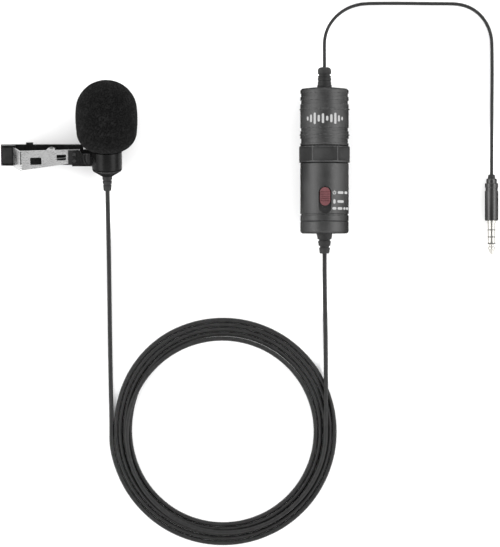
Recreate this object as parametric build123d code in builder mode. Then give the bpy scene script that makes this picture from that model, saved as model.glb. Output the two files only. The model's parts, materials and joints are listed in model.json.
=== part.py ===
"""Lavalier microphone with foam windscreen, tie clip, battery pack, cords and plug, laid on a table.

Millimetres. +Z is up and the table is z = 0. The pack and the plug lie along Y, the clip along X.
The origin is on the table, under the middle of the head, the clip and the pack together.
"""
from build123d import *
from math import cos, pi, radians, sin, tan
import os

os.makedirs("parts", exist_ok=True)

# ---------------------------------------------------------------- driving dimensions
half_width = 78.75  # half the width over clip and pack
half_length = 42.0  # half the length over the pack and its two strain reliefs
running_gap = 0.1  # radial clearance where a piece turns or slides
seat_gap = 0.02  # radial clearance of a piece seated in its own body

# Microphone head: radii about its axis, heights along the axis with + towards the front
head_tilt = 16.0  # the foam rests on the table and the tail points down to it
head_x = -30.75
head_y = 19.8
head_z = 15.6
foam_r = 14.1
foam_front = 16.4
foam_back = -16.0
foam_bore_front = 2.7  # the bore's conical floor rises from here to its tip
foam_bore_tip = 3.6
barrel_r = 5.2
barrel_wall = 0.5
barrel_front = 1.6
barrel_back = -24.1
capsule_r = 3.0
capsule_length = 5.0
mic_cord_r = 1.0

# Tie clip: distances from the head's axis, and heights above the axis
clip_ring_r = 6.8
clip_near = -16.3
clip_far = -24.0
arm_start = 10.8  # beside the foam, which hides this end from above
arm_length = 48.0
arm_top = -3.0
arm_bottom = -4.2
pivot_distance = 25.0
pivot_height = 0.3
pivot_r = 0.6
plate_thickness = 0.5

# Battery pack: radii about its axis, places along Y
ring_r = 11.4
case_r = 10.9
case_bore_r = 9.4
spigot_r = 8.9
spigot_bore_r = 7.7
ring_back = -1.1
ring_front = 6.4
flat_distance = 9.95
flat_count = 6
flat_middle = 2.8
flat_length = 6.3
slot_middle = -18.05
slot_length = 12.1
slot_width = 5.7
board_top = 3.0
board_thickness = 1.0
cell_r = 5.8
cell_height = 5.4

# Plug and output cord
plug_x = 143.3
plug_r = 3.0
pin_r = 1.75
pin_tip = -42.2
pin_base = -28.2
output_cord_r = 0.75

# Coil of the microphone cord
coil_x = 21.5
coil_y = -122.7
coil_outer_r = 51.7
coil_inner_r = 40.4

# ---------------------------------------------------------------- planes and axes
tilt = radians(head_tilt)
pack_x = half_width - ring_r

HEAD = Plane(origin=(head_x, head_y, head_z), x_dir=(1, 0, 0), z_dir=(0, -sin(tilt), cos(tilt)))
HEAD_AXIS = Axis(HEAD.origin, HEAD.y_dir)
# Clip side view: x is the distance from the head's axis, y the height, and the normal the axis.
CLIP_SIDE = Plane(origin=HEAD.origin, x_dir=(-1, 0, 0), z_dir=HEAD.y_dir)
# Clip plan view: x is the distance from the head's axis and y runs along the axis.
CLIP_PLAN = Plane(origin=HEAD.origin, x_dir=(-1, 0, 0), z_dir=(0, sin(tilt), -cos(tilt)))
PACK = Plane(origin=(pack_x, 0, ring_r), x_dir=(1, 0, 0), z_dir=(0, 0, 1))
PACK_AXIS = Axis(PACK.origin, PACK.y_dir)
PLUG = Plane(origin=(plug_x, 0, plug_r), x_dir=(1, 0, 0), z_dir=(0, 0, 1))
PLUG_AXIS = Axis(PLUG.origin, PLUG.y_dir)


# ---------------------------------------------------------------- shared sections
def outline(plane, *points):
    """A face on a plane, bounded by straight lines through the points."""
    with BuildSketch(plane) as face:
        with BuildLine():
            Polyline(*points, close=True)
        make_face()
    return face.sketch


def band(plane, inner, outer, low, high):
    """The half section of a ring: from one radius to another, from one height to another."""
    return outline(plane, (inner, low), (outer, low), (outer, high), (inner, high))


def across(plane, height):
    """The plane square to a plane's own Y axis at a height, with its Y along the old normal."""
    origin = plane.from_local_coords((0, height, 0))
    return Plane(origin=origin, x_dir=-plane.x_dir, z_dir=plane.y_dir)


def cord_radii(points):
    """The arc of each inner point: as large as its two runs allow."""
    corners = [Vector(*point) for point in points]
    radii = []
    for before, corner, after in zip(corners, corners[1:], corners[2:]):
        turn = radians((corner - before).get_angle(after - corner))
        shorter = min((corner - before).length, (after - corner).length)
        radii.append(0.45 * shorter / tan(turn / 2))
    return radii


def cord_path(points, radii):
    """Straight runs joined by tangent arcs."""
    with BuildLine() as path:
        FilletPolyline(*points, radius=radii)
    return path.wire()


# ================================================================ microphone head
# Foam ball with a blind bore for the barrel
foam_bore_r = barrel_r + running_gap
with BuildPart() as foam_windscreen:
    with BuildSketch(HEAD):
        with BuildLine():
            Line((0, foam_bore_tip), (0, foam_front))
            ThreePointArc((0, foam_front), (9.9, 12.4), (13.9, 3.5))
            ThreePointArc((13.9, 3.5), (foam_r, -1.0), (13.7, -8.4))
            ThreePointArc((13.7, -8.4), (12.0, -12.4), (7.8, -15.7))
            Line((7.8, -15.7), (6.6, foam_back))
            Line((6.6, foam_back), (foam_bore_r, foam_back))
            Line((foam_bore_r, foam_back), (foam_bore_r, foam_bore_front))
            Line((foam_bore_r, foam_bore_front), (0, foam_bore_tip))
        make_face()
    revolve(axis=HEAD_AXIS)
foam_windscreen.part.label = "foam_windscreen"
export_step(foam_windscreen.part, "parts/foam_windscreen.step")

barrel_bore_r = barrel_r - barrel_wall
with BuildPart() as mic_housing:
    revolve(band(HEAD, barrel_bore_r, barrel_r, barrel_back, barrel_front), HEAD_AXIS)
    chamfer(mic_housing.edges().filter_by(GeomType.CIRCLE).sort_by(HEAD_AXIS)[:2], 0.1)
mic_housing.part.label = "mic_housing"
export_step(mic_housing.part, "parts/mic_housing.step")

# Perforated cap: a pierced disc on a short skirt that seats in the barrel
grille_front = 2.4
grille_seat = 0.6
grille_skirt = 0.6
grille_hole_r = 0.45
grille_hole_rows = ((1.5, 6), (2.9, 12))  # radius of each ring of holes, and how many
with BuildPart() as front_grille:
    revolve(
        outline(
            HEAD,
            (0, barrel_front), (barrel_bore_r - grille_skirt, barrel_front),
            (barrel_bore_r - grille_skirt, grille_seat),
            (barrel_bore_r - seat_gap, grille_seat), (barrel_bore_r - seat_gap, barrel_front),
            (barrel_r, barrel_front), (barrel_r, grille_front - 0.4),
            (barrel_r - 0.4, grille_front), (0, grille_front),
        ),
        HEAD_AXIS,
    )
    with BuildSketch(across(HEAD, barrel_front - 0.1)):
        with Locations((0, 0)):
            Circle(grille_hole_r)
        for row_radius, holes in grille_hole_rows:
            with PolarLocations(row_radius, holes):
                Circle(grille_hole_r)
    extrude(amount=1, mode=Mode.SUBTRACT)
front_grille.part.label = "front_grille"
export_step(front_grille.part, "parts/front_grille.step")

mesh_r = barrel_bore_r - grille_skirt - 0.05
mesh_back = 1.35
mesh_front = 1.5
with BuildPart() as dust_mesh:
    revolve(band(HEAD, 0, mesh_r, mesh_back, mesh_front), HEAD_AXIS)
dust_mesh.part.label = "dust_mesh"
export_step(dust_mesh.part, "parts/dust_mesh.step")

# Rubber sleeve between the capsule and the barrel, with a lip in front and ribs outside
boot_back = -6.4
boot_lip_r = 2.2
boot_rib_r = barrel_bore_r - seat_gap
boot_groove_r = 4.2
with BuildPart() as capsule_boot:
    revolve(
        outline(
            HEAD,
            (boot_lip_r, 0.4), (boot_rib_r, 0.4), (boot_rib_r, -0.8), (boot_groove_r, -0.8),
            (boot_groove_r, -2.4), (boot_rib_r, -2.4), (boot_rib_r, -3.4), (boot_groove_r, -3.4),
            (boot_groove_r, -5.2), (boot_rib_r, -5.2), (boot_rib_r, boot_back),
            (capsule_r + seat_gap, boot_back), (capsule_r + seat_gap, 0), (boot_lip_r, 0),
        ),
        HEAD_AXIS,
    )
capsule_boot.part.label = "capsule_boot"
export_step(capsule_boot.part, "parts/capsule_boot.step")

capsule_edge = 0.25
sound_hole_ring_r = 1.0
sound_hole_count = 3
sound_hole_r = 0.35
sound_hole_depth = 0.3
with BuildPart() as mic_capsule:
    revolve(band(HEAD, 0, capsule_r, -capsule_length, 0), HEAD_AXIS)
    chamfer(mic_capsule.edges().filter_by(GeomType.CIRCLE), capsule_edge)
    with BuildSketch(across(HEAD, -sound_hole_depth)):
        with PolarLocations(sound_hole_ring_r, sound_hole_count):
            Circle(sound_hole_r)
    extrude(amount=1, mode=Mode.SUBTRACT)
mic_capsule.part.label = "mic_capsule"
export_step(mic_capsule.part, "parts/mic_capsule.step")

capsule_board_r = 2.6
capsule_board_back = -capsule_length - 0.6
with BuildPart() as capsule_board:
    revolve(band(HEAD, 0, capsule_board_r, capsule_board_back, -capsule_length), HEAD_AXIS)
capsule_board.part.label = "capsule_board"
export_step(capsule_board.part, "parts/capsule_board.step")

# Two wires from the board's pads to the end of the cord
cord_start = -22.0
wire_r = 0.3
with BuildPart() as capsule_leads:
    for side in (-1, 1):
        route = [
            HEAD.from_local_coords((side * 1.3, capsule_board_back, 0)),
            HEAD.from_local_coords((side * 1.4, -12.0, 0.3)),
            HEAD.from_local_coords((side * 0.42, -17.0, -0.2)),
            HEAD.from_local_coords((side * 0.4, cord_start, 0)),
        ]
        wire = cord_path(route, cord_radii(route))
        with BuildSketch(Plane(origin=route[0], z_dir=wire % 0)):
            Circle(wire_r)
        sweep(path=wire)
capsule_leads.part.label = "capsule_leads"
export_step(capsule_leads.part, "parts/capsule_leads.step")

# Screwed tail: a cone behind the barrel with a spigot inside it
tail_back = -27.5
tail_bore_r = 1.7
tail_spigot_front = -20.5
tail_shoulder = -24.25
with BuildPart() as tail_cone:
    revolve(
        outline(
            HEAD,
            (tail_bore_r, tail_spigot_front), (barrel_bore_r - seat_gap, tail_spigot_front),
            (barrel_bore_r - seat_gap, tail_shoulder), (6.3, tail_shoulder), (6.7, -24.6), (6.4, -25.2),
            (2.9, tail_back), (tail_bore_r, tail_back),
        ),
        HEAD_AXIS,
    )
tail_cone.part.label = "tail_cone"
export_step(tail_cone.part, "parts/tail_cone.step")

# Ribbed rubber sleeve with a collar inside the tail
relief_end = -34.6
relief_collar_front = -19.2
relief_collar_back = tail_spigot_front + 0.05
relief_neck_r = tail_bore_r - seat_gap
with BuildPart() as mic_strain_relief:
    revolve(
        outline(
            HEAD,
            (mic_cord_r + seat_gap, relief_collar_front), (2.6, relief_collar_front),
            (2.6, relief_collar_back), (relief_neck_r, relief_collar_back),
            (relief_neck_r, tail_back - 0.05), (2.25, tail_back - 0.05), (2.2, -29.3), (1.75, -29.4),
            (1.75, -29.9), (2.1, -30.0), (2.05, -31.2), (1.65, -31.3), (1.65, -31.8), (1.95, -31.9),
            (1.85, -33.0), (1.75, relief_end + 0.3), (1.5, relief_end), (mic_cord_r + seat_gap, relief_end),
        ),
        HEAD_AXIS,
    )
mic_strain_relief.part.label = "mic_strain_relief"
export_step(mic_strain_relief.part, "parts/mic_strain_relief.step")

# ================================================================ tie clip
clip_depth = clip_near - clip_far
jaw_near = -14.0  # the arms reach past the foam's shoulder where they are clear of it

# Plastic ring round the barrel, back arm, pivot ears and jaw block, moulded in one
arm_far = clip_far + 0.6
block_start = 41.4
block_top = -1.5
pad_middle = (44.9, (jaw_near + arm_far) / 2)
pad_length = 4.3
pad_width = 7.1
pad_recess = 1.3
pad_gap = 0.05  # all round the pad in its pocket, and under it
shoulder_start = 33.4
shoulder_end = 36.6
shoulder_width = 1.0
plastic_ears = (-16.35, -21.4)  # where each ear starts along the axis
plastic_ear_r = 1.6
plastic_ear_width = 1.0
with BuildPart() as clip_body:
    with BuildSketch(CLIP_SIDE.offset(clip_far)):
        Circle(clip_ring_r)
        with BuildLine():
            Polyline((0, arm_bottom), (16, arm_bottom), (16, arm_top), (0, arm_top), close=True)
        make_face()
    extrude(amount=clip_depth)
    with BuildSketch(CLIP_SIDE.offset(arm_far)):
        with BuildLine():
            Polyline(
                (arm_start, arm_bottom), (arm_length, arm_bottom),
                (arm_length, arm_top), (arm_start, arm_top), close=True,
            )
        make_face()
    extrude(amount=jaw_near - arm_far)
    # the jaw block has a shallow pocket for its pad
    with BuildSketch(CLIP_SIDE.offset(arm_far)):
        with BuildLine():
            Polyline(
                (block_start, arm_top - 0.1), (arm_length, arm_top - 0.1), (arm_length, -1.9),
                (arm_length - 0.8, block_top), (block_start + 0.5, block_top),
                (block_start, -2.0), close=True,
            )
        make_face()
    extrude(amount=jaw_near - arm_far)
    with BuildSketch(CLIP_PLAN.offset(1.0)):
        with Locations(pad_middle):
            RectangleRounded(pad_length + 2 * pad_gap, pad_width + 2 * pad_gap, 0.6)
    extrude(amount=pad_recess, mode=Mode.SUBTRACT)
    # shoulders beside the jaw where fingers square up the cloth
    with BuildSketch(CLIP_SIDE.offset(jaw_near - 0.1)):
        with BuildLine():
            Polyline(
                (shoulder_start, arm_bottom), (shoulder_end, arm_bottom), (shoulder_end, arm_top),
                (shoulder_start, arm_top), close=True,
            )
        make_face()
    extrude(amount=shoulder_width)
    # two ears carry the pivot
    for ear_at in plastic_ears:
        with BuildSketch(CLIP_SIDE.offset(ear_at)):
            with BuildLine():
                Polyline((22.6, arm_top - 0.1), (27.4, arm_top - 0.1), (26.6, 0.6), (23.4, 0.6), close=True)
            make_face()
            with Locations((pivot_distance, pivot_height)):
                Circle(plastic_ear_r)
        extrude(amount=plastic_ear_width)
    with BuildSketch(CLIP_SIDE.offset(clip_far - 1)):
        Circle(barrel_r + running_gap)
    extrude(amount=clip_depth + 12, mode=Mode.SUBTRACT)
    with BuildSketch(CLIP_SIDE.offset(clip_far - 1)):
        with Locations((pivot_distance, pivot_height)):
            Circle(pivot_r + seat_gap)
    extrude(amount=12, mode=Mode.SUBTRACT)
clip_body.part.label = "clip_body"
export_step(clip_body.part, "parts/clip_body.step")

# Ribbed pad in the jaw block
pad_rib_count = 4
pad_rib_pitch = 0.9
pad_rib_width = 0.45
pad_rib_height = 0.1
pad_face = 1.35  # below the head's axis
pad_thickness = 0.9
with BuildPart() as back_jaw_pad:
    with BuildSketch(CLIP_PLAN.offset(pad_face)):
        with Locations(pad_middle):
            RectangleRounded(pad_length, pad_width, 0.55)
    extrude(amount=pad_thickness)
    with BuildSketch(CLIP_PLAN.offset(pad_face - pad_rib_height)):
        with Locations(pad_middle):
            with GridLocations(pad_rib_pitch, 0, pad_rib_count, 1):
                Rectangle(pad_rib_width, pad_width - 0.7)
    extrude(amount=2 * pad_rib_height)
back_jaw_pad.part.label = "back_jaw_pad"
export_step(back_jaw_pad.part, "parts/back_jaw_pad.step")

rivet_r = 0.4
rivet_head_r = 0.75
rivet_seat = 4.6
rivet_spots = ((14.6, -16.6), (14.6, -19.6))

# Spring-steel front arm: a slotted tapering plate, a jaw bent down at its end, and two ears
plate_near = -14.7
jaw_bend = (39.0, 6.0)
lever_end = (12.0, 3.3)
jaw_tip = (42.4, -1.0)
hole_line = 38.5
hole_near = -15.6
hole_count = 9
hole_pitch = 0.95
hole_r = 0.4
wide_slot = (31.75, -19.6)
small_slot = (20.35, -18.2)
slot_corner_r = 0.3
steel_ear_r = 1.5
steel_ears = (-15.2, -22.05)  # where each ear starts along the axis


def beside(point, other, distance):
    """The point moved square to the line from it to another point."""
    run = Vector(other[0] - point[0], other[1] - point[1]).normalized()
    return (point[0] - run.Y * distance, point[1] + run.X * distance)


with BuildPart() as clip_front_arm:
    with BuildSketch(CLIP_SIDE.offset(clip_far)):
        with BuildLine():
            Polyline(
                lever_end, jaw_bend, jaw_tip,
                beside(jaw_tip, jaw_bend, plate_thickness), (38.75, 5.55),
                beside(lever_end, jaw_bend, -plate_thickness), close=True,
            )
        make_face()
    extrude(amount=plate_near - clip_far)
    # the plate's near edge tapers towards the lever
    with BuildSketch(CLIP_PLAN.offset(-10)):
        with BuildLine():
            Polyline(
                (11, -20.4), (39.5, clip_far + 0.1), (43, clip_far + 0.1), (43, -26), (11, -26), close=True,
            )
        make_face()
    extrude(amount=14, mode=Mode.SUBTRACT)
    # two slots, and a row of holes along the bend
    with BuildSketch(CLIP_PLAN.offset(-8)):
        with Locations(wide_slot):
            RectangleRounded(5.1, 3.3, slot_corner_r)
        with Locations(small_slot):
            RectangleRounded(4.3, 2.6, slot_corner_r)
        for hole in range(hole_count):
            with Locations((hole_line, hole_near - hole * hole_pitch)):
                Circle(hole_r)
        with Locations(*rivet_spots):
            Circle(rivet_r + seat_gap)
    extrude(amount=8, mode=Mode.SUBTRACT)
    # ears bent down outside the plastic ears, with the pivot's holes
    for ear_at in steel_ears:
        with BuildSketch(CLIP_SIDE.offset(ear_at)):
            with BuildLine():
                Polyline((23.0, 4.2), (27.2, 4.62), (26.5, pivot_height), (23.5, pivot_height), close=True)
            make_face()
            with Locations((pivot_distance, pivot_height)):
                Circle(steel_ear_r)
        extrude(amount=plate_thickness)
    with BuildSketch(CLIP_SIDE.offset(clip_far - 1)):
        with Locations((pivot_distance, pivot_height)):
            Circle(pivot_r + running_gap)
    extrude(amount=12, mode=Mode.SUBTRACT)
clip_front_arm.part.label = "clip_front_arm"
export_step(clip_front_arm.part, "parts/clip_front_arm.step")

# Ridged plastic pad over the lever end, gripping the plate from above and in front
groove_centre = (4.5, -18.0)
first_groove_r = 5.2
groove_pitch = 1.3
groove_count = 4
groove_half_width = 0.22
groove_floor = 4.35
thumb_far = -21.2
thumb_start = 7.5
thumb_end = 17.2
thumb_foot = 3.2
with BuildPart() as thumb_pad:
    with BuildSketch(CLIP_SIDE.offset(thumb_far)):
        with BuildLine():
            Line((thumb_end, 4.0), (thumb_end, 4.9))
            Line((thumb_end, 4.9), (15.6, 5.3))
            ThreePointArc((15.6, 5.3), (12.2, 4.6), (8.6, 5.4))
            Line((8.6, 5.4), (thumb_start, 5.0))
            Line((thumb_start, 5.0), (thumb_start, thumb_foot))
            Line((thumb_start, thumb_foot), (lever_end[0] - 0.05, thumb_foot + 0.1))
            Line((lever_end[0] - 0.05, thumb_foot + 0.1), (thumb_end, 4.0))
        make_face()
    extrude(amount=plate_near - thumb_far)
    # the foam's shoulder is close to the pad's inner corner
    with BuildSketch(CLIP_PLAN.offset(-8)):
        with BuildLine():
            Polyline((6.5, -16.6), (11.2, -16.6), (12.6, -14), (6.5, -14), close=True)
        make_face()
        with Locations(*rivet_spots):
            Circle(rivet_r + seat_gap)
    extrude(amount=8, mode=Mode.SUBTRACT)
    with BuildSketch(CLIP_PLAN.offset(-8)):
        with Locations(*rivet_spots):
            Circle(rivet_head_r + seat_gap)
    extrude(amount=8 - rivet_seat, mode=Mode.SUBTRACT)
    # curved grip grooves, one inside the other
    with BuildSketch(CLIP_PLAN.offset(-8)):
        with Locations(groove_centre):
            for groove in reversed(range(groove_count)):
                groove_line_r = first_groove_r + groove * groove_pitch
                Circle(groove_line_r + groove_half_width)
                Circle(groove_line_r - groove_half_width, mode=Mode.SUBTRACT)
    extrude(amount=8 - groove_floor, mode=Mode.SUBTRACT)
thumb_pad.part.label = "thumb_pad"
export_step(thumb_pad.part, "parts/thumb_pad.step")

pin_far = -22.5
pivot_length = 8.2
with BuildPart() as clip_pivot_pin:
    with BuildSketch(CLIP_SIDE.offset(pin_far)):
        with Locations((pivot_distance, pivot_height)):
            Circle(pivot_r)
    extrude(amount=pivot_length)
clip_pivot_pin.part.label = "clip_pivot_pin"
export_step(clip_pivot_pin.part, "parts/clip_pivot_pin.step")

# Torsion spring: the outer shape of its winding round the pin, with a leg on each arm
spring_wire_r = 0.22
spring_leg_r = 0.17
spring_coil_r = 1.15
spring_far = -20.1
spring_near = -16.6
leg_reach = 18.6
with BuildPart() as clip_spring:
    with BuildSketch(CLIP_SIDE.offset(spring_far)):
        with Locations((pivot_distance, pivot_height)):
            Circle(spring_coil_r + spring_wire_r)
            Circle(spring_coil_r - spring_wire_r, mode=Mode.SUBTRACT)
    extrude(amount=spring_near - spring_far)
    for leg_at, side, foot_height in (
        (spring_far + spring_wire_r, -1, arm_top + 0.25), (spring_near - spring_wire_r, 1, 3.2),
    ):
        leg_plane = CLIP_SIDE.offset(leg_at)
        heel = leg_plane.from_local_coords((pivot_distance, pivot_height + side * spring_coil_r, 0))
        foot = leg_plane.from_local_coords((leg_reach, foot_height, 0))
        with BuildSketch(Plane(origin=heel, z_dir=foot - heel)):
            Circle(spring_leg_r)
        extrude(amount=(foot - heel).length)
clip_spring.part.label = "clip_spring"
export_step(clip_spring.part, "parts/clip_spring.step")

# Two rivets hold the pad to the lever, their upper heads sunk in the pad
rivet_head = 0.25
rivet_shank = 1.8
lower_head_top = 2.95
with BuildPart() as pad_rivets:
    for radius, rivet_top, height in (
        (rivet_head_r, rivet_seat + rivet_head, rivet_head),
        (rivet_r, rivet_seat, rivet_shank),
        (rivet_head_r, lower_head_top, rivet_head),
    ):
        with BuildSketch(CLIP_PLAN.offset(-rivet_top)):
            with Locations(*rivet_spots):
                Circle(radius)
        extrude(amount=height)
pad_rivets.part.label = "pad_rivets"
export_step(pad_rivets.part, "parts/pad_rivets.step")

# ================================================================ battery pack, lower half
case_back = -27.4
pack_back = -32.9
seam = ring_back - 0.2
with BuildPart() as lower_case:
    revolve(
        outline(
            PACK,
            (case_bore_r, case_back), (case_r - 0.25, case_back), (case_r, case_back + 0.25),
            (case_r, -24.9), (case_r - 0.4, -24.7), (case_r - 0.4, -24.2), (case_r, -24.0),
            (case_r, seam - 0.25), (case_r - 0.25, seam), (spigot_r, seam), (spigot_r, 3.9),
            (spigot_r - 0.3, 4.2), (spigot_bore_r, 4.2), (spigot_bore_r, -3.6), (case_bore_r, -4.2),
        ),
        PACK_AXIS,
    )
    # the switch's slot, through the top wall only
    with BuildSketch(PACK.offset(case_bore_r - 2)):
        with Locations((0, slot_middle)):
            SlotOverall(slot_length, slot_width, rotation=90)
    extrude(amount=4, mode=Mode.SUBTRACT)
lower_case.part.label = "lower_case"
export_step(lower_case.part, "parts/lower_case.step")

with BuildPart() as bottom_cap:
    revolve(
        outline(
            PACK,
            (2.8, pack_back), (case_r - 1.0, pack_back), (case_r - 0.3, pack_back + 0.3),
            (case_r, pack_back + 1.0), (case_r, -27.9), (case_r - 0.25, -27.45),
            (case_bore_r - seat_gap, -27.45), (case_bore_r - seat_gap, -25.4), (7.8, -25.4),
            (7.8, -31.3), (2.8, -31.3),
        ),
        PACK_AXIS,
    )
bottom_cap.part.label = "bottom_cap"
export_step(bottom_cap.part, "parts/bottom_cap.step")

# Tapered rubber sleeve with two ribs outside and a collar inside the cap
with BuildPart() as mic_cord_relief:
    revolve(
        outline(
            PACK,
            (mic_cord_r + seat_gap, -half_length), (1.9, -half_length), (2.25, -half_length + 0.4),
            (2.5, -39.4), (2.1, -39.2), (2.15, -38.6), (2.7, -38.4), (2.95, -36.4), (2.5, -36.2),
            (2.55, -35.6), (3.15, -35.4), (3.6, pack_back - 0.05), (2.75, pack_back - 0.05),
            (2.75, -31.25), (3.9, -31.25), (3.9, -30.4), (mic_cord_r + seat_gap, -30.4),
        ),
        PACK_AXIS,
    )
mic_cord_relief.part.label = "mic_cord_relief"
export_step(mic_cord_relief.part, "parts/mic_cord_relief.step")

lower_cord_start = -26.6
with BuildPart() as mic_cord_clamp:
    revolve(
        outline(
            PACK,
            (mic_cord_r + seat_gap, -30.3), (1.7, -30.3), (1.7, -29.6), (1.5, -29.4), (1.5, -28.9),
            (1.7, -28.7), (1.7, -28.0), (mic_cord_r + seat_gap, -28.0),
        ),
        PACK_AXIS,
    )
mic_cord_clamp.part.label = "mic_cord_clamp"
export_step(mic_cord_clamp.part, "parts/mic_cord_clamp.step")

# Plastic tray under the board: half a round bar, hollowed, with flat rims for the screws
tray_back = -24.2
tray_front = -4.4
board_bottom = board_top - board_thickness
board_middle = (0, (tray_back + tray_front) / 2)
tray_floor = -6.4
screw_spots = ((7.3, -7.4), (-7.3, -21.0))
screw_r = 0.58
screw_foot = -1.2
screw_head_r = 1.0
screw_head = 0.6
cross_slot = (1.2, 0.22)
with BuildPart() as board_carrier:
    with BuildSketch(across(PACK, tray_back)):
        Circle(case_bore_r - 0.1)
    extrude(amount=tray_front - tray_back)
    with BuildSketch(PACK.offset(board_bottom)):
        Rectangle(30, 80)
    extrude(amount=12, mode=Mode.SUBTRACT)
    with BuildSketch(PACK.offset(tray_floor)):
        with Locations(board_middle):
            Rectangle(12.2, 17.4)
    extrude(amount=12, mode=Mode.SUBTRACT)
    with BuildSketch(PACK.offset(screw_foot - 0.2)):
        with Locations(*screw_spots):
            Circle(screw_r + seat_gap)
    extrude(amount=6, mode=Mode.SUBTRACT)
board_carrier.part.label = "board_carrier"
export_step(board_carrier.part, "parts/board_carrier.step")

with BuildPart() as circuit_board:
    with BuildSketch(PACK.offset(board_bottom)):
        with Locations(board_middle):
            RectangleRounded(17.0, 19.4, 0.6)
        with Locations(*screw_spots):
            Circle(screw_r + running_gap, mode=Mode.SUBTRACT)
    extrude(amount=board_thickness)
circuit_board.part.label = "circuit_board"
export_step(circuit_board.part, "parts/circuit_board.step")

# Two electrolytic capacitors standing, a transistor and four chips
capacitor_spots = ((-3.6, -7.6), (0.6, -7.6))
capacitor_r = 1.75
transistor_spot = (3.9, -11.0)
chip_spots = ((-5.4, -13.6), (-5.4, -16.0), (5.6, -16.4), (5.6, -19.0))
with BuildPart() as board_components:
    with BuildSketch(PACK.offset(board_top)):
        with Locations(*capacitor_spots):
            Circle(capacitor_r)
    extrude(amount=3.6)
    with BuildSketch(PACK.offset(board_top)):
        with Locations(transistor_spot):
            Rectangle(2.9, 1.4)
    extrude(amount=1.1)
    with BuildSketch(PACK.offset(board_top)):
        with Locations(*chip_spots):
            Rectangle(2.0, 1.2)
    extrude(amount=0.55)
board_components.part.label = "board_components"
export_step(board_components.part, "parts/board_components.step")

with BuildPart() as board_screws:
    with BuildSketch(PACK.offset(screw_foot)):
        with Locations(*screw_spots):
            Circle(screw_r)
    extrude(amount=board_top - screw_foot)
    with BuildSketch(PACK.offset(board_top)):
        with Locations(*screw_spots):
            Circle(screw_head_r)
    extrude(amount=screw_head)
    with BuildSketch(PACK.offset(board_top + screw_head - 0.25)):
        with Locations(*screw_spots):
            Rectangle(*cross_slot)
            Rectangle(*cross_slot[::-1])
    extrude(amount=0.3, mode=Mode.SUBTRACT)
board_screws.part.label = "board_screws"
export_step(board_screws.part, "parts/board_screws.step")

# Slide switch: a can with a slot in its lid, and the knob that slides in it
knob_length = 8.2
knob_width = 4.6
knob_travel = 3.2
knob_middle = slot_middle + knob_travel / 2
can_top = 7.2
stem_foot = 6.3
stem_width = 2.1
stem_length = 2.8
with BuildPart() as switch_body:
    with BuildSketch(PACK.offset(board_top)):
        with Locations((0, slot_middle)):
            Rectangle(4.8, 9.4)
    extrude(amount=can_top - board_top)
    with BuildSketch(PACK.offset(stem_foot - 0.15)):
        with Locations((0, slot_middle)):
            Rectangle(stem_width + 0.3, stem_length + knob_travel + 0.6)
    extrude(amount=2, mode=Mode.SUBTRACT)
switch_body.part.label = "switch_body"
export_step(switch_body.part, "parts/switch_body.step")

mask_bottom = 7.75
mask_top = 8.35
with BuildPart() as switch_mask:
    with BuildSketch(PACK.offset(mask_bottom)):
        with Locations((0, slot_middle)):
            RectangleRounded(7.2, 14.4, 0.5)
            Rectangle(stem_width + 0.5, stem_length + knob_travel + 0.8, mode=Mode.SUBTRACT)
    extrude(amount=mask_top - mask_bottom)
switch_mask.part.label = "switch_mask"
export_step(switch_mask.part, "parts/switch_mask.step")

knob_top = 11.35
knob_lift = 0.15  # above the mask
knob_groove_count = 5
knob_groove = 0.4
with BuildPart() as switch_slider:
    with BuildSketch(PACK.offset(mask_top + knob_lift)):
        with Locations((0, knob_middle)):
            SlotOverall(knob_length, knob_width, rotation=90)
    extrude(amount=knob_top - mask_top - knob_lift)
    with BuildSketch(PACK.offset(knob_top - 0.3)):
        with Locations((0, knob_middle)):
            with GridLocations(0, 1, 1, knob_groove_count):
                Rectangle(knob_width, knob_groove)
    extrude(amount=1, mode=Mode.SUBTRACT)
    with BuildSketch(PACK.offset(stem_foot)):
        with Locations((0, knob_middle)):
            Rectangle(stem_width, stem_length)
    extrude(amount=mask_top + 2 * knob_lift - stem_foot)
switch_slider.part.label = "switch_slider"
export_step(switch_slider.part, "parts/switch_slider.step")

# Wires from the end of the microphone cord up to the board
with BuildPart() as mic_cord_leads:
    for side in (-1, 1):
        route = [
            PACK.from_local_coords((side * 0.45, lower_cord_start + 0.15, 0)),
            PACK.from_local_coords((side * 0.9, lower_cord_start + 1.2, 0.9)),
            PACK.from_local_coords((side * 1.2, tray_back - 0.9, board_top + 0.3)),
            PACK.from_local_coords((side * 1.3, tray_back + 0.6, board_top + 0.5)),
            PACK.from_local_coords((side * 1.3, tray_back + 1.3, board_top + 0.3)),
        ]
        wire = cord_path(route, cord_radii(route))
        with BuildSketch(Plane(origin=route[0], z_dir=wire % 0)):
            Circle(wire_r)
        sweep(path=wire)
mic_cord_leads.part.label = "mic_cord_leads"
export_step(mic_cord_leads.part, "parts/mic_cord_leads.step")

# Cup for the button cell in the spigot
cell_back = -1.55
cell_front = cell_back + cell_height
with BuildPart() as cell_cup:
    revolve(
        outline(
            PACK,
            (1.6, -3.4), (spigot_bore_r - seat_gap, -3.4), (spigot_bore_r - seat_gap, 3.6),
            (cell_r + 0.1, 3.6), (cell_r + 0.1, -2.6), (1.6, -2.6),
        ),
        PACK_AXIS,
    )
cell_cup.part.label = "cell_cup"
export_step(cell_cup.part, "parts/cell_cup.step")

with BuildPart() as button_cell:
    revolve(
        outline(
            PACK,
            (0, cell_back), (4.6, cell_back), (4.9, cell_back + 0.25), (4.9, cell_back + 0.55),
            (cell_r, cell_back + 0.75), (cell_r, cell_front - 0.35), (cell_r - 0.35, cell_front),
            (0, cell_front),
        ),
        PACK_AXIS,
    )
button_cell.part.label = "button_cell"
export_step(button_cell.part, "parts/button_cell.step")

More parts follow.
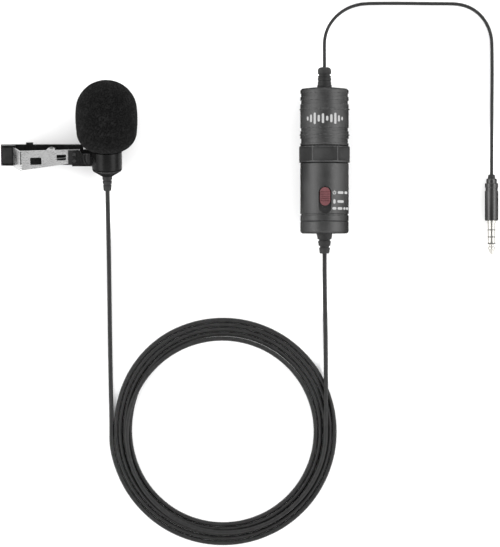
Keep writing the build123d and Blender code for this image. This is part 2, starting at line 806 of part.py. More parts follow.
# Conical contact spring between the cup's floor and the cell, as a stepped sprung disc
with BuildPart() as cell_spring:
    revolve(
        outline(
            PACK,
            (0, -2.15), (0, -4.1), (1.1, -4.1), (1.1, -3.55), (0.5, -3.45), (0.5, -2.5),
            (3.6, -2.58), (4.2, -2.5), (4.1, -2.25), (3.5, -2.33), (2.0, -2.2), (1.4, cell_back - 0.05),
            (0.6, cell_back - 0.05),
        ),
        PACK_AXIS,
    )
cell_spring.part.label = "cell_spring"
export_step(cell_spring.part, "parts/cell_spring.step")

with BuildPart() as seal_ring:
    revolve(band(PACK, spigot_bore_r + 0.1, spigot_r - 0.35, 4.2, 4.45), PACK_AXIS)
seal_ring.part.label = "seal_ring"
export_step(seal_ring.part, "parts/seal_ring.step")

# ================================================================ coupling ring
neck_r = 8.0
flange_r = 8.8
with BuildPart() as coupling_ring:
    revolve(
        outline(
            PACK,
            (spigot_r + running_gap, ring_back), (ring_r - 0.3, ring_back), (ring_r, ring_back + 0.3),
            (ring_r, ring_front - 0.3), (ring_r - 0.3, ring_front), (neck_r + running_gap, ring_front),
            (neck_r + running_gap, 5.2), (spigot_r + running_gap, 5.2),
        ),
        PACK_AXIS,
    )
    # grip flats, each stopping short of the ring's two rims
    for facet_number in range(flat_count):
        facet = Plane(PACK.location * Rotation(0, facet_number * 360 / flat_count, 0))
        with BuildSketch(facet.offset(flat_distance)):
            with Locations((0, flat_middle)):
                Rectangle(14, flat_length)
        extrude(amount=3, mode=Mode.SUBTRACT)
coupling_ring.part.label = "coupling_ring"
export_step(coupling_ring.part, "parts/coupling_ring.step")

# ================================================================ battery pack, upper half
case_front = 32.0
rib_r = 11.25
groove_r = case_r - 0.35
with BuildPart() as upper_case:
    revolve(
        outline(
            PACK,
            (7.2, 4.5), (flange_r, 4.5), (flange_r, 5.1), (neck_r, 5.1), (neck_r, 6.6),
            (case_r - 0.25, 6.6), (case_r, 6.85), (case_r, 7.6), (groove_r, 7.7), (groove_r, 9.7),
            (case_r, 9.8), (case_r, 11.1), (rib_r, 11.2), (rib_r, 11.6), (case_r, 11.7),
            (case_r, 13.0), (groove_r, 13.1), (groove_r, 14.5), (case_r, 14.6), (case_r, 22.6),
            (rib_r, 22.7), (rib_r, 23.1), (case_r, 23.2), (case_r, 25.2), (groove_r, 25.3),
            (groove_r, 26.9), (case_r, 27.0), (case_r, 28.4), (groove_r, 28.5), (groove_r, 30.1),
            (case_r, 30.2), (case_r, case_front - 0.5), (case_r - 0.5, case_front),
            (case_bore_r, case_front), (case_bore_r, 8.6), (7.2, 7.4),
        ),
        PACK_AXIS,
    )
upper_case.part.label = "upper_case"
export_step(upper_case.part, "parts/upper_case.step")

with BuildPart() as contact_holder:
    revolve(
        outline(
            PACK,
            (1.0, 4.6), (7.2 - seat_gap, 4.6), (7.2 - seat_gap, 6.6), (5.6, 6.6), (5.6, 5.8), (1.0, 5.8),
        ),
        PACK_AXIS,
    )
contact_holder.part.label = "contact_holder"
export_step(contact_holder.part, "parts/contact_holder.step")

with BuildPart() as contact_plate:
    revolve(
        outline(
            PACK,
            (0, cell_front + 0.05), (2.6, cell_front + 0.05), (3.4, 4.25), (3.4, 4.55), (0.98, 4.55),
            (0.98, 7.0), (0, 7.0),
        ),
        PACK_AXIS,
    )
contact_plate.part.label = "contact_plate"
export_step(contact_plate.part, "parts/contact_plate.step")

with BuildPart() as top_cap:
    revolve(
        outline(
            PACK,
            (2.5, 31.4), (8.0, 31.4), (8.0, 29.6), (case_bore_r - seat_gap, 29.6),
            (case_bore_r - seat_gap, case_front), (case_r - 0.55, case_front), (case_r - 0.75, 32.25),
            (3.4, 33.0), (2.5, 33.0),
        ),
        PACK_AXIS,
    )
top_cap.part.label = "top_cap"
export_step(top_cap.part, "parts/top_cap.step")

# Domed rubber sleeve with a deep groove and two shallow ones
with BuildPart() as output_cord_relief:
    with BuildSketch(PACK):
        with BuildLine():
            Polyline(
                (1.6, half_length), (output_cord_r + seat_gap, half_length), (output_cord_r + seat_gap, 30.65),
                (3.4, 30.65), (3.4, 31.35), (2.45, 31.35), (2.45, 33.05), (3.3, 33.05), (3.3, 33.8),
                (3.05, 34.0), (3.05, 35.5), (2.8, 35.6), (2.8, 35.9), (3.05, 36.0), (3.05, 37.1),
                (2.8, 37.2), (2.8, 37.5), (3.05, 37.6), (3.05, 38.0), (2.5, 38.15), (2.5, 38.85),
                (3.05, 39.0), (3.05, 40.4),
            )
            ThreePointArc((3.05, 40.4), (2.6, 41.55), (1.6, half_length))
        make_face()
    revolve(axis=PACK_AXIS)
output_cord_relief.part.label = "output_cord_relief"
export_step(output_cord_relief.part, "parts/output_cord_relief.step")

output_cord_start = 28.4
with BuildPart() as output_cord_clamp:
    revolve(
        outline(
            PACK,
            (output_cord_r + seat_gap, 29.0), (1.4, 29.0), (1.4, 29.5), (1.2, 29.6), (1.2, 30.0),
            (1.4, 30.1), (1.4, 30.6), (output_cord_r + seat_gap, 30.6),
        ),
        PACK_AXIS,
    )
output_cord_clamp.part.label = "output_cord_clamp"
export_step(output_cord_clamp.part, "parts/output_cord_clamp.step")

# Two wires from the contacts to the end of the output cord
with BuildPart() as output_leads:
    for side in (-1, 1):
        route = [
            PACK.from_local_coords((side * 3.0, 5.85, 0)),
            PACK.from_local_coords((side * 3.1, 10.5, 0.4)),
            PACK.from_local_coords((side * 2.0, 17.5, -0.6)),
            PACK.from_local_coords((side * 0.6, 24.0, 0.3)),
            PACK.from_local_coords((side * 0.38, output_cord_start, 0)),
        ]
        wire = cord_path(route, cord_radii(route))
        with BuildSketch(Plane(origin=route[0], z_dir=wire % 0)):
            Circle(wire_r)
        sweep(path=wire)
output_leads.part.label = "output_leads"
export_step(output_leads.part, "parts/output_leads.step")

# ================================================================ plug
plug_cord_end = -14.4
shell_front = -10.0
shell_back = -27.0
with BuildPart() as plug_boot:
    revolve(
        outline(
            PLUG,
            (output_cord_r + seat_gap, -6.1), (1.25, -6.1), (1.55, -6.4), (1.7, -7.95), (1.28, -7.95),
            (1.28, -12.15), (1.9, -12.15), (1.9, -12.8), (output_cord_r + seat_gap, -12.8),
        ),
        PLUG_AXIS,
    )
plug_boot.part.label = "plug_boot"
export_step(plug_boot.part, "parts/plug_boot.step")

with BuildPart() as plug_cap:
    revolve(
        outline(
            PLUG,
            (1.3, -8.0), (2.1, -8.0), (2.36, -8.3), (2.36, -12.1), (1.3, -12.1),
        ),
        PLUG_AXIS,
    )
plug_cap.part.label = "plug_cap"
export_step(plug_cap.part, "parts/plug_cap.step")

# Turned handle with a recessed band near its cord end
with BuildPart() as plug_shell:
    revolve(
        outline(
            PLUG,
            (2.38, shell_front), (plug_r - 0.3, shell_front), (plug_r, shell_front - 0.3), (plug_r, -12.0),
            (plug_r - 0.25, -12.1), (plug_r - 0.25, -13.4), (plug_r, -13.5), (plug_r, shell_back + 0.3),
            (plug_r - 0.3, shell_back), (2.05, shell_back), (2.05, shell_back + 0.8), (2.38, shell_back + 0.8),
        ),
        PLUG_AXIS,
    )
plug_shell.part.label = "plug_shell"
export_step(plug_shell.part, "parts/plug_shell.step")

with BuildPart() as plug_cord_clamp:
    revolve(band(PLUG, output_cord_r + seat_gap, 1.3, -14.2, -12.9), PLUG_AXIS)
plug_cord_clamp.part.label = "plug_cord_clamp"
export_step(plug_cord_clamp.part, "parts/plug_cord_clamp.step")

core_r = 0.95
core_start = -21.0
core_end = -38.2
with BuildPart() as plug_collar:
    revolve(
        outline(
            PLUG,
            (core_r + seat_gap, -22.2), (2.36, -22.2), (2.36, shell_back + 0.85), (2.0, shell_back + 0.85),
            (2.0, pin_base + 0.15), (1.85, pin_base), (core_r + seat_gap, pin_base),
        ),
        PLUG_AXIS,
    )
plug_collar.part.label = "plug_collar"
export_step(plug_collar.part, "parts/plug_collar.step")

with BuildPart() as plug_core:
    revolve(band(PLUG, 0, core_r, core_end, core_start), PLUG_AXIS)
plug_core.part.label = "plug_core"
export_step(plug_core.part, "parts/plug_core.step")

# Contacts along the pin, from the collar to the tip, with an insulator after each
contact_ends = ((pin_base, -30.95), (-31.45, -34.15), (-34.65, -37.0))
insulator_length = 0.5
with BuildPart() as plug_sleeve:
    revolve(band(PLUG, core_r + seat_gap, pin_r, contact_ends[0][1], contact_ends[0][0]), PLUG_AXIS)
plug_sleeve.part.label = "plug_sleeve"
export_step(plug_sleeve.part, "parts/plug_sleeve.step")

with BuildPart() as plug_ring_two:
    revolve(band(PLUG, core_r + seat_gap, pin_r, contact_ends[1][1], contact_ends[1][0]), PLUG_AXIS)
plug_ring_two.part.label = "plug_ring_two"
export_step(plug_ring_two.part, "parts/plug_ring_two.step")

with BuildPart() as plug_ring_one:
    revolve(band(PLUG, core_r + seat_gap, pin_r, contact_ends[2][1], contact_ends[2][0]), PLUG_AXIS)
plug_ring_one.part.label = "plug_ring_one"
export_step(plug_ring_one.part, "parts/plug_ring_one.step")

with BuildPart() as plug_insulators:
    for _, contact_end in contact_ends:
        revolve(band(PLUG, core_r + seat_gap, pin_r, contact_end - insulator_length, contact_end), PLUG_AXIS)
plug_insulators.part.label = "plug_insulators"
export_step(plug_insulators.part, "parts/plug_insulators.step")

with BuildPart() as plug_tip:
    with BuildSketch(PLUG):
        with BuildLine():
            Polyline(
                (0, core_end - 0.05), (core_r + seat_gap, core_end - 0.05),
                (core_r + seat_gap, -37.5), (pin_r - 0.1, -37.5), (1.3, -37.95),
            )
            ThreePointArc((1.3, -37.95), (1.22, -38.35), (1.4, -38.75))
            ThreePointArc((1.4, -38.75), (1.72, -39.4), (1.5, -40.1))
            Polyline((1.5, -40.1), (0.75, pin_tip + 0.3), (0.35, pin_tip), (0, pin_tip), (0, core_end - 0.05))
        make_face()
    revolve(axis=PLUG_AXIS)
plug_tip.part.label = "plug_tip"
export_step(plug_tip.part, "parts/plug_tip.step")

plug_wire_r = 0.25
with BuildPart() as plug_leads:
    for side in (-1, 1):
        route = [
            PLUG.from_local_coords((side * 0.36, plug_cord_end, 0)),
            PLUG.from_local_coords((side * 1.0, -17.0, 0.1)),
            PLUG.from_local_coords((side * 1.35, -19.6, 0)),
            PLUG.from_local_coords((side * 1.4, -22.1, 0)),
        ]
        wire = cord_path(route, cord_radii(route))
        with BuildSketch(Plane(origin=route[0], z_dir=wire % 0)):
            Circle(plug_wire_r)
        sweep(path=wire)
plug_leads.part.label = "plug_leads"
export_step(plug_leads.part, "parts/plug_leads.step")

# ================================================================ cords
# Microphone cord from the head down to the table and along to the coil
upper_route = [
    HEAD.from_local_coords((0, cord_start, 0)),
    (-30.70, -20.0, 4.3),
    (-30.42, -37.0, mic_cord_r),
    (-30.12, -57.0, mic_cord_r),
    (-29.84, -78.0, mic_cord_r),
    (-29.52, -99.0, mic_cord_r),
    (-29.05, -118.0, mic_cord_r),
]
# From the pack's lower end down to the table and up onto the coil
lower_route = [
    (pack_x, lower_cord_start, ring_r),
    (pack_x, -46.0, ring_r),
    (67.8, -65.0, 1.9),
    (68.1, -82.0, mic_cord_r),
    (68.2, -98.2, 3.3),
    (68.2, -113.5, 3.1),
]
# From the pack's upper end over the arch and down to the plug
output_route = [
    (pack_x, output_cord_start, ring_r),
    (pack_x, 44.4, ring_r),
    (67.4, 60.2, 5.2),
    (78.9, 71.5, 0.9),
    (97.0, 71.8, output_cord_r),
    (116.5, 71.6, output_cord_r),
    (133.6, 71.5, output_cord_r),
    (143.4, 61.0, output_cord_r),
    (143.8, 45.5, output_cord_r),
    (143.6, 22.0, output_cord_r),
    (143.35, 3.0, plug_r),
    (plug_x, plug_cord_end, plug_r),
]

with BuildPart() as mic_cord_upper:
    upper_line = cord_path(upper_route, cord_radii(upper_route))
    with BuildSketch(Plane(origin=upper_line @ 0, z_dir=upper_line % 0)):
        Circle(mic_cord_r)
    sweep(path=upper_line)
mic_cord_upper.part.label = "mic_cord_upper"
export_step(mic_cord_upper.part, "parts/mic_cord_upper.step")

with BuildPart() as mic_cord_lower:
    lower_line = cord_path(lower_route, cord_radii(lower_route))
    with BuildSketch(Plane(origin=lower_line @ 0, z_dir=lower_line % 0)):
        Circle(mic_cord_r)
    sweep(path=lower_line)
mic_cord_lower.part.label = "mic_cord_lower"
export_step(mic_cord_lower.part, "parts/mic_cord_lower.step")

with BuildPart() as output_cord:
    output_line = cord_path(output_route, cord_radii(output_route))
    with BuildSketch(Plane(origin=output_line @ 0, z_dir=output_line % 0)):
        Circle(output_cord_r)
    sweep(path=output_line)
output_cord.part.label = "output_cord"
export_step(output_cord.part, "parts/output_cord.step")

# The coil's outer shape: a flat layer of turns with one turn lying on it
layer = 2 * mic_cord_r + 0.05
top_turn_outer_r = 48.5
top_turn_inner_r = 43.5
with BuildPart() as mic_cord_coil:
    with BuildSketch():
        with Locations((coil_x, coil_y)):
            Circle(coil_outer_r)
            Circle(coil_inner_r, mode=Mode.SUBTRACT)
    extrude(amount=layer)
    with BuildSketch(Plane.XY.offset(layer)):
        with Locations((coil_x, coil_y)):
            Circle(top_turn_outer_r)
            Circle(top_turn_inner_r, mode=Mode.SUBTRACT)
    extrude(amount=layer)
mic_cord_coil.part.label = "mic_cord_coil"
export_step(mic_cord_coil.part, "parts/mic_cord_coil.step")

for cord_name, cord, line, radius, route in (
    ("mic_cord_upper", mic_cord_upper, upper_line, mic_cord_r, upper_route),
    ("mic_cord_lower", mic_cord_lower, lower_line, mic_cord_r, lower_route),
    ("output_cord", output_cord, output_line, output_cord_r, output_route),
):
    arcs = [round(arc, 1) for arc in cord_radii(route)]
    share = cord.part.volume / (pi * radius**2 * line.length)
    print(cord_name, "length", round(line.length, 1), "radii", arcs)
    print(cord_name, "volume over section x length", round(share, 4))
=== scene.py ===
"""The look of a lavalier microphone: foam head on a tie clip, battery pack, coiled cord and plug.

Metres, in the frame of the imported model: +Z is up, the table is z = 0 and the pack lies along Y.
"""

import cmath
import json
import math

import bmesh
import bpy
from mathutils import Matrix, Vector, noise


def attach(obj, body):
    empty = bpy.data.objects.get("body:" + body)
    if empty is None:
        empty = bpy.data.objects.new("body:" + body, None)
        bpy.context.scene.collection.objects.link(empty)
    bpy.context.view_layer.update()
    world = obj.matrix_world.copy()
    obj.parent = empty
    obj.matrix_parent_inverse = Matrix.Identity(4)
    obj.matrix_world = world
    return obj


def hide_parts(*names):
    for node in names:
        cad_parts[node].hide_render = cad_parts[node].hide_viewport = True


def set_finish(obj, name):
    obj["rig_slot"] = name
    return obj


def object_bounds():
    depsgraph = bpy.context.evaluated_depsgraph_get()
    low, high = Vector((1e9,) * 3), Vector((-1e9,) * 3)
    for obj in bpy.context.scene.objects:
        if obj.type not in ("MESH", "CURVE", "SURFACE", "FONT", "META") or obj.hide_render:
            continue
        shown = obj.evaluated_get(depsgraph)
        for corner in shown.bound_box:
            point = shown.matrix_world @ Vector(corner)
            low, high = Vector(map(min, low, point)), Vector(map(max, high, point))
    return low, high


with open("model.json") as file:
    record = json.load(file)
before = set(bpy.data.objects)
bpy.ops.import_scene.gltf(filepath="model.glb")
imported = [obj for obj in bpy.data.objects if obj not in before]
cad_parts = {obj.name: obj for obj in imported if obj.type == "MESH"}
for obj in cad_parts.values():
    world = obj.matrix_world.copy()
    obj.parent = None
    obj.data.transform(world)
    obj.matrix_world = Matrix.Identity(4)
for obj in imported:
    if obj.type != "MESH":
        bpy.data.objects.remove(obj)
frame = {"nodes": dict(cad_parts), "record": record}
cad_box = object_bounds()

MM = 0.001
scene = bpy.context.scene

# ---------------------------------------------------------------- driving sizes, in millimetres
# The head's own frame, and the pack's axis and case.
HEAD_ORIGIN = (-30.75, 19.8, 15.6)
HEAD_TILT = math.radians(16.0)
PACK_X = 67.35
PACK_Z = 11.4
CASE_R = 10.9

# The cords and the coil. A share is a part of one turn. The lengths are in metres.
MIC_CORD_R = 1.0
OUTPUT_CORD_R = 0.75
COIL_CENTRE = (21.5, -122.7)
OUTER_TURN_R = 50.65
TURN_PITCH = 2.12
FLAT_TURNS = 4.5
TOP_TURNS = 1.0
TOP_HEIGHT = 3.05
TOP_END_R = 46.7
TURN_POINTS = 16
STEP_IN_FROM = 0.84
CLIMB_SHARE = 0.25
OUTWARD_FROM = 0.2


def head_point(x, along, height):
    """A point of the head's own frame: across, along its axis, and above its axis."""
    y = HEAD_ORIGIN[1] + along * math.cos(HEAD_TILT) - height * math.sin(HEAD_TILT)
    z = HEAD_ORIGIN[2] + along * math.sin(HEAD_TILT) + height * math.cos(HEAD_TILT)
    return Vector((HEAD_ORIGIN[0] + x, y, z)) * MM


def smooth(value):
    """A smooth step from 0 to 1."""
    value = min(max(value, 0.0), 1.0)
    return value * value * (3 - 2 * value)


# ---------------------------------------------------------------- camera
VIEW_HEIGHT = 0.2486
LENS = 200.0
SENSOR = 36.0
CAMERA_REACH = 50.0


def add_camera():
    """A long lens straight above the middle of the object, with +Y up in the picture."""
    low, high = cad_box
    camera = bpy.data.objects.new("camera", bpy.data.cameras.new("camera"))
    camera.data.lens = LENS
    camera.data.sensor_width = SENSOR
    camera.data.clip_end = CAMERA_REACH
    camera.location = ((low.x + high.x) / 2, (low.y + high.y) / 2, VIEW_HEIGHT * LENS / SENSOR)
    scene.collection.objects.link(camera)
    scene.camera = camera


add_camera()

# ---------------------------------------------------------------- cords
UPPER_ROUTE = [
    (-30.75, -1.348, 9.536),
    (-30.70, -20.0, 4.3),
    (-30.42, -37.0, 1.0),
    (-30.12, -57.0, 1.0),
    (-29.84, -78.0, 1.0),
    (-29.52, -99.0, 1.0),
    (-29.05, -118.0, 1.0),
]
LOWER_ROUTE = [
    (67.35, -26.6, 11.4),
    (67.35, -46.0, 11.4),
    (67.8, -65.0, 1.9),
    (68.1, -82.0, 1.0),
    (68.2, -98.2, 3.3),
    (68.2, -113.5, 3.1),
]
OUTPUT_ROUTE = [
    (67.35, 28.4, 11.4),
    (67.35, 44.4, 11.4),
    (67.4, 60.2, 5.2),
    (78.9, 71.5, 0.9),
    (97.0, 71.8, 0.75),
    (116.5, 71.6, 0.75),
    (133.6, 71.5, 0.75),
    (143.4, 61.0, 0.75),
    (143.8, 45.5, 0.75),
    (143.6, 22.0, 0.75),
    (143.35, 3.0, 3.0),
    (143.3, -14.4, 3.0),
]


def coil_route():
    """Flat round turns from the outside in, then one turn outwards on top of them.

    Each flat turn keeps its radius and steps in by one pitch over its last part.
    """
    inner_turn = OUTER_TURN_R - TURN_PITCH * math.floor(FLAT_TURNS)
    corner = 1 / math.cos(math.pi / TURN_POINTS)
    points = []
    for step in range(int((FLAT_TURNS + TOP_TURNS) * TURN_POINTS)):
        turned = (step + 0.5) / TURN_POINTS
        flat = min(turned, FLAT_TURNS)
        risen = turned - flat
        turns_in = math.floor(flat) + smooth((flat % 1 - STEP_IN_FROM) / (1 - STEP_IN_FROM))
        outward = smooth((risen - OUTWARD_FROM) / (TOP_TURNS - OUTWARD_FROM))
        radius = OUTER_TURN_R - TURN_PITCH * turns_in + (TOP_END_R - inner_turn) * outward
        height = MIC_CORD_R + (TOP_HEIGHT - MIC_CORD_R) * smooth(risen / CLIMB_SHARE)
        angle = math.pi * (1 + 2 * turned)
        x = COIL_CENTRE[0] + radius * corner * math.cos(angle)
        y = COIL_CENTRE[1] + radius * corner * math.sin(angle)
        points.append((x, y, height))
    return points


def tube(name, points, radius, sides, steps=8):
    """A round cord or wire along one smooth spline, with the points as its control points.

    A point's own radius counts in the curve's box, so it is the cord's, and the bevel is one of it.
    """
    curve = bpy.data.curves.new(name, "CURVE")
    curve.dimensions = "3D"
    curve.bevel_depth = 1.0
    curve.bevel_resolution = sides
    curve.resolution_u = steps
    curve.use_fill_caps = True
    spline = curve.splines.new("NURBS")
    spline.points.add(len(points) - 1)
    for knot, point in zip(spline.points, points):
        knot.co = (*point, 1.0)
        knot.radius = radius * MM
    spline.order_u = 3
    spline.use_endpoint_u = True
    piece = bpy.data.objects.new(name, curve)
    scene.collection.objects.link(piece)
    return piece


def in_metres(points):
    return [Vector(point) * MM for point in points]


def add_mic_cord():
    """From the head down to the coil, round it, and up to the pack."""
    route = UPPER_ROUTE + coil_route() + LOWER_ROUTE[::-1]
    cord = tube("mic_cord", in_metres(route), MIC_CORD_R, sides=5)
    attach(cord, "power_pack")
    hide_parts("mic_cord_upper", "mic_cord_coil", "mic_cord_lower")
    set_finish(cord, "cord_black")
    return cord


def add_output_cord():
    """From the pack over to the plug."""
    cord = tube("output_lead", in_metres(OUTPUT_ROUTE), OUTPUT_CORD_R, sides=5)
    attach(cord, "upper_half")
    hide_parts("output_cord")
    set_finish(cord, "cord_black")
    return cord


mic_cord = add_mic_cord()
output_lead = add_output_cord()

# ---------------------------------------------------------------- foam windscreen
FOAM_COLUMNS = 400
FOAM_STEP = 0.22
REAR = -15.7
REAR_EDGE = (7.8, REAR)
REAR_FACE = [(7.2, -15.9), (6.6, -16.0)]
BORE_LIP = (5.9, -16.0)
BORE_R = 5.3
BORE_END = 2.7
BORE_TIP = 3.6
BORE_ROWS = 24
PORE_SIZE = 0.8
PORE_DEPTH = 0.3
PORE_SHARE = 0.7
PORE_WALL = 0.4
FINE_PORE_RATIO = 0.55
FINE_PORE_SHARE = 0.3
FINE_PORE_SHIFT = (7, 3, 5)
LUMP_SIZE = 7.0
LUMP_DEPTH = 0.12
FOAM_ARCS = [
    ((0.0, 16.4), (9.9, 12.4), (13.9, 3.5)),
    ((13.9, 3.5), (14.1, -1.0), (13.7, -8.4)),
    ((13.7, -8.4), (12.0, -12.4), REAR_EDGE),
]


def arc(start, through, end, step):
    """Points about a step apart on the circle from start through a middle point to end, without end."""
    a, b, c = complex(*start), complex(*through), complex(*end)
    w = (c - a) / (b - a)
    centre = a + (b - a) * (w - abs(w) ** 2) / (2j * w.imag)
    sweep = cmath.phase((c - centre) / (a - centre))
    count = round(abs(sweep * (a - centre)) / step)
    turned = [centre + (a - centre) * cmath.exp(1j * sweep * i / count) for i in range(count)]
    return [(point.real, point.imag) for point in turned]


def foam_profile():
    """Half section from the front pole round the rim, and how rough each point may be."""
    outside = [point for ends in FOAM_ARCS for point in arc(*ends, FOAM_STEP)]
    outside += [REAR_EDGE, *REAR_FACE]
    inside = [BORE_LIP]
    for row in range(BORE_ROWS + 1):
        inside.append((BORE_R, REAR + (BORE_END - REAR) * row / BORE_ROWS))
    inside += [(BORE_R / 2, (BORE_END + BORE_TIP) / 2), (0.0, BORE_TIP)]
    return [(*point, 1.0) for point in outside] + [(*point, 0.0) for point in inside]


def pore(place):
    """0 on the foam's cell walls, up to 1 in the middle of an open cell, with the cells uneven."""
    near = noise.voronoi(place / (PORE_SIZE * MM))[0]
    fine = noise.voronoi(place / (PORE_SIZE * FINE_PORE_RATIO * MM) + Vector(FINE_PORE_SHIFT))[0]
    large = PORE_SHARE * smooth((near[1] - near[0]) / PORE_WALL)
    small = FINE_PORE_SHARE * smooth((fine[1] - fine[0]) / PORE_WALL)
    return large + small


def add_foam():
    """Open-cell foam: the turned shape, with a pit for each open cell on its skin."""
    profile = foam_profile()
    mesh = bmesh.new()
    # Each vertex keeps how deep its pore is, which the foam material paints darker as painted shade.
    depth = mesh.verts.layers.float.new("pore")
    rows = []
    for index, (radius, along, rough) in enumerate(profile):
        before = profile[max(index - 1, 0)]
        after = profile[min(index + 1, len(profile) - 1)]
        run = Vector((after[0] - before[0], after[1] - before[1])).normalized()
        row = []
        for column in range(FOAM_COLUMNS if radius > 0 else 1):
            turn = 2 * math.pi * column / FOAM_COLUMNS
            across, up = math.cos(turn), math.sin(turn)
            place = head_point(radius * across, along, radius * up)
            open_cell = pore(place) * rough
            lump = noise.noise(place / (LUMP_SIZE * MM)) * LUMP_DEPTH * rough
            shift = lump - PORE_DEPTH * open_cell - LUMP_DEPTH * rough
            out = radius - run.y * shift
            vertex = mesh.verts.new(head_point(out * across, along + run.x * shift, out * up))
            vertex[depth] = open_cell
            row.append(vertex)
        rows.append(row)
    for upper, lower in zip(rows, rows[1:]):
        for column in range(FOAM_COLUMNS):
            after = (column + 1) % FOAM_COLUMNS
            corners = [upper[column % len(upper)], upper[after % len(upper)]]
            corners += [lower[after % len(lower)], lower[column % len(lower)]]
            mesh.faces.new(dict.fromkeys(corners))
    bmesh.ops.recalc_face_normals(mesh, faces=mesh.faces)
    return finished_mesh("foam_cover", mesh)


def finished_mesh(name, mesh, shade_smooth=True):
    """A piece made of a bmesh, linked into the scene."""
    for face in mesh.faces:
        face.smooth = shade_smooth
    data = bpy.data.meshes.new(name)
    mesh.to_mesh(data)
    mesh.free()
    piece = bpy.data.objects.new(name, data)
    scene.collection.objects.link(piece)
    return piece


foam = add_foam()
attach(foam, "windscreen")
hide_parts("foam_windscreen")
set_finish(foam, "foam")

# ---------------------------------------------------------------- clip spring
# D is the distance from the head's axis, and SPRING_ENDS are places along that axis.
PIVOT_D = 25.0
PIVOT_HEIGHT = 0.3
SPRING_R = 1.15
SPRING_WIRE_R = 0.22
SPRING_TURNS = 5.5
SPRING_ENDS = (-20.1, -16.6)
# Each leg's end, as a height and a place along the head's axis.
LEG_D = 18.6
LOWER_LEG = (-2.75, -19.88)
UPPER_LEG = (3.2, -16.82)
LEG_OFFSET = 0.1
LOWER_LEG_DROP = 0.3
UPPER_LEG_START = 0.3
UPPER_LEG_STEP = 0.05
UPPER_LEG_LIFT = 0.55


def clip_point(distance, along, height):
    """A point of the clip: its distance from the head's axis towards the clip's far end."""
    return head_point(-distance, along, height)


def add_spring():
    """The winding with its lower leg, and the upper leg apart, because it moves with the jaw."""
    steps = int(SPRING_TURNS * TURN_POINTS)
    first, last = SPRING_ENDS
    winding = []
    for step in range(steps + 1):
        angle = -math.pi / 2 + 2 * math.pi * step / TURN_POINTS
        along = first + (last - first) * step / steps
        height = PIVOT_HEIGHT + SPRING_R * math.sin(angle)
        winding.append(clip_point(PIVOT_D + SPRING_R * math.cos(angle), along, height))
    bottom, top = PIVOT_HEIGHT - SPRING_R, PIVOT_HEIGHT + SPRING_R
    lower = [clip_point(LEG_D, LOWER_LEG[1], LOWER_LEG[0])]
    lower.append(clip_point(PIVOT_D - 2, first + LEG_OFFSET, bottom - LOWER_LEG_DROP))
    coil = tube("spring_winding", lower + winding, SPRING_WIRE_R, sides=3, steps=4)
    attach(coil, "clip")
    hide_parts("clip_spring")
    leg = tube("spring_upper_leg", [
        clip_point(PIVOT_D + UPPER_LEG_START, last, top - UPPER_LEG_STEP),
        clip_point(PIVOT_D - 1, last, top + UPPER_LEG_STEP),
        clip_point(PIVOT_D - 3, UPPER_LEG[1] + LEG_OFFSET, top + UPPER_LEG_LIFT),
        clip_point(LEG_D, UPPER_LEG[1], UPPER_LEG[0]),
    ], SPRING_WIRE_R, sides=3)
    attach(leg, "clip_jaw")
    for piece in (coil, leg):
        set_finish(piece, "pin_steel")
    return [coil, leg]


springs = add_spring()

# ---------------------------------------------------------------- printed marks on the pack
PRINT_RISE = 0.05
PRINT_SINK = -0.05
WAVE_Y = 18.5
WAVE_PITCH = 1.9
WAVE_BAR = 1.05
WAVE_HEIGHTS = [1.8, 3.4, 5.2, 3.0, 4.4, 2.2, 3.6, 5.0, 2.8, 1.6]
ROW_Y = [-14.7, -18.7, -21.8]
ROW_X = 4.3
ROW_HEIGHT = 1.15
ICON = 0.85
STROKE = 0.32
RING_GAP = 0.7
# The dashes of each row: how far each is from the row's icon, and its length.
ROW_DASHES = [
    [(3.4, 3.4), (7.2, 2.6)],
    [(3.4, 3.8)],
    [(0.0, 2.0), (3.0, 2.8), (5.9, 1.6), (8.4, 2.2)],
]


def pack_point(x, y, height):
    """A point x round the case from its top line, along it, and above its surface."""
    angle = x / CASE_R
    radius = CASE_R + height
    return Vector((PACK_X + radius * math.sin(angle), y, PACK_Z + radius * math.cos(angle))) * MM


def bar(x, y, width, length, steps=5, rows=8):
    """The outline of a bar with round ends: down one side, then up the other with matching points."""
    end = width / 2
    half = length / 2 - end
    angles = [math.pi / 2 * (step + 0.5) / steps for step in range(steps)]
    top = [(end * math.sin(angle), half + end * math.cos(angle)) for angle in angles]
    straight = [(end, half * (1 - 2 * row / rows)) for row in range(rows + 1)]
    right = top + straight + [(across, -up) for across, up in reversed(top)]
    left = [(-across, up) for across, up in reversed(right)]
    return [(x + across, y + up) for across, up in right + left]


def dash(x, y, length, width):
    """The outline of a bar with round ends that runs round the case."""
    return [(x + dy, y - dx) for dx, dy in bar(0, 0, width, length)]


def open_ring(x, y, radius, stroke, gap, steps=14):
    """The outline of a ring with a gap at its top."""
    angles = [math.pi / 2 + gap + (2 * math.pi - 2 * gap) * i / steps for i in range(steps + 1)]
    outer = [(x + radius * math.cos(a), y + radius * math.sin(a)) for a in angles]
    hole = radius - stroke
    inner = [(x + hole * math.cos(a), y + hole * math.sin(a)) for a in angles]
    return outer + inner[::-1]


def add_print(name, outlines, body):
    """A thin raised print over each outline, curved with the case, in strips across the outline."""
    mesh = bmesh.new()
    for outline in outlines:
        low = [mesh.verts.new(pack_point(x, y, PRINT_SINK)) for x, y in outline]
        high = [mesh.verts.new(pack_point(x, y, PRINT_RISE)) for x, y in outline]
        for i in range(len(outline)):
            j = (i + 1) % len(outline)
            mesh.faces.new((low[i], low[j], high[j], high[i]))
        for i in range(len(outline) // 2 - 1):
            j = len(outline) - 1 - i
            mesh.faces.new((high[i], high[i + 1], high[j - 1], high[j]))
            mesh.faces.new((low[j], low[j - 1], low[i + 1], low[i]))
    bmesh.ops.recalc_face_normals(mesh, faces=mesh.faces)
    piece = finished_mesh(name, mesh, shade_smooth=False)
    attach(piece, body)
    return piece


